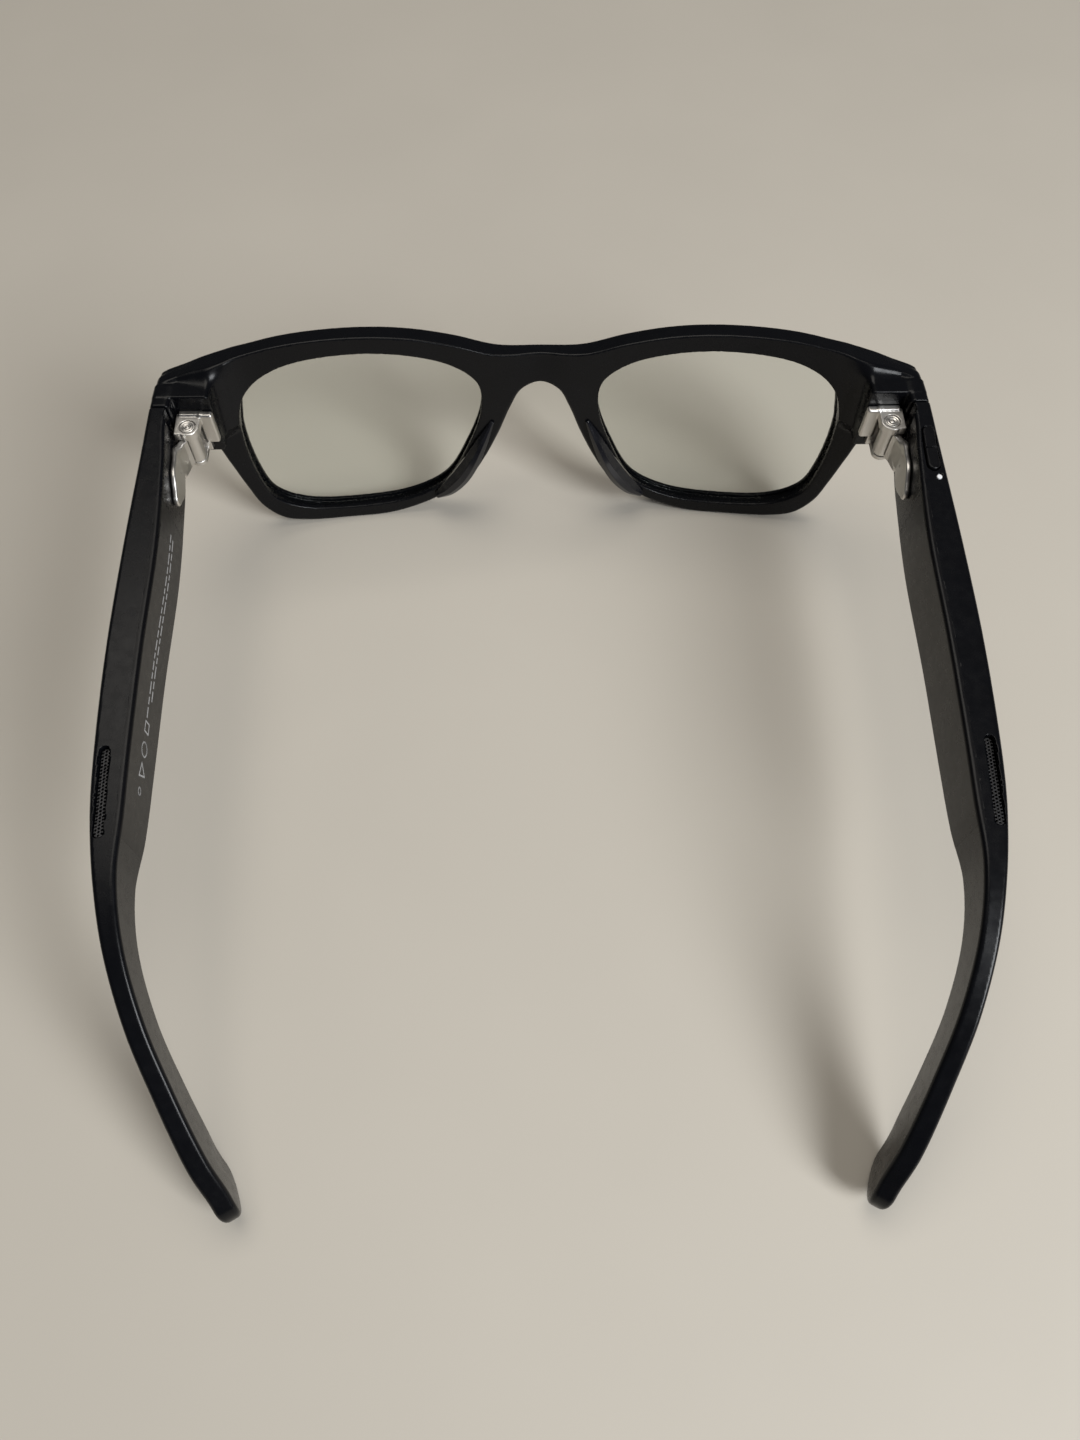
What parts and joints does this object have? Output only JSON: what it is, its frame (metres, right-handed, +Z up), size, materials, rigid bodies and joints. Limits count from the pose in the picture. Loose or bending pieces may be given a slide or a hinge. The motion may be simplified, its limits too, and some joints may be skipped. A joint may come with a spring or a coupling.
{
  "type": "smart glasses",
  "caption": "Thick-rimmed smart glasses with clear lenses, two folding electronics temples, a camera, a capture light, speakers, a press button and a slide switch.",
  "frame": {"origin": "centre of the footprint, on the surface that the rims and the temple tips stand on", "axes": "lenses face -Y, temples run back to +Y, +X is the wearer's left side, +Z up"},
  "size_m": [0.148, 0.1558, 0.0458],
  "materials": {
    "frame_plastic": "polished black injection-moulded nylon, softly glossy",
    "cover_plastic": "satin black moulded plastic",
    "pad_plastic": "high-gloss black",
    "lens_clear": "clear coated lens, faint neutral tint",
    "window_black": "polished smoked window",
    "optics_black": "coated camera optics",
    "module_black": "black moulded module case",
    "circuit_board": "green solder mask",
    "flex_circuit": "amber polyimide film",
    "component_metal": "dull foil and can metal",
    "contact_gold": "gold-plated",
    "hinge_steel": "satin nickel-silver",
    "speaker_mesh": "fine black acoustic mesh",
    "status_light": "milky light guide"
  },
  "bodies": {
    "front": {"front_frame": "frame_plastic", "left_lens": "lens_clear", "right_lens": "lens_clear", "left_nose_pad": "pad_plastic", "right_nose_pad": "pad_plastic", "camera_window": "window_black", "camera_lens_barrel": "optics_black", "camera_module": "module_black", "capture_light_window": "window_black", "capture_light_board": "circuit_board", "front_flex_cable": "flex_circuit", "left_charging_contact": "contact_gold", "right_charging_contact": "contact_gold", "bridge_microphone": "component_metal", "left_hinge_bracket": "hinge_steel", "right_hinge_bracket": "hinge_steel", "left_hinge_screw": "hinge_steel", "right_hinge_screw": "hinge_steel"},
    "left_temple": {"left_temple_shell": "frame_plastic", "left_temple_cover": "cover_plastic", "left_hinge_leaf": "hinge_steel", "left_speaker": "module_black", "left_speaker_mesh": "speaker_mesh", "left_microphone": "component_metal", "left_battery": "component_metal", "left_power_board": "circuit_board"},
    "right_temple": {"right_temple_shell": "frame_plastic", "right_temple_cover": "cover_plastic", "right_hinge_leaf": "hinge_steel", "right_speaker": "module_black", "right_speaker_mesh": "speaker_mesh", "right_microphone": "component_metal", "right_main_board": "circuit_board", "right_touch_strip": "flex_circuit", "right_button_dome": "contact_gold", "right_status_light": "status_light"},
    "power_switch": {"left_power_switch": "cover_plastic"},
    "capture_button": {"right_capture_button": "cover_plastic"}
  },
  "joints": [
    {"name": "left_temple_fold", "type": "hinge", "parent": "front", "child": "left_temple", "pos_m": [0.067, -0.05774, 0.034], "axis": [0, 0, 1], "range_deg": [0, 86]},
    {"name": "right_temple_fold", "type": "hinge", "parent": "front", "child": "right_temple", "pos_m": [-0.067, -0.05774, 0.034], "axis": [0, 0, -1], "range_deg": [0, 76]},
    {"name": "power_switch_slide", "type": "slide", "parent": "left_temple", "child": "power_switch", "axis": [-0.0472, 0.9983, -0.0353], "range_m": [0, 0.0024]},
    {"name": "capture_button_press", "type": "slide", "parent": "right_temple", "child": "capture_button", "axis": [-0.0011, -0.0319, -0.9995], "range_m": [0, 0.0004], "stiffness_N_per_m": 1500, "springref_m": -0.0006}
  ]
}
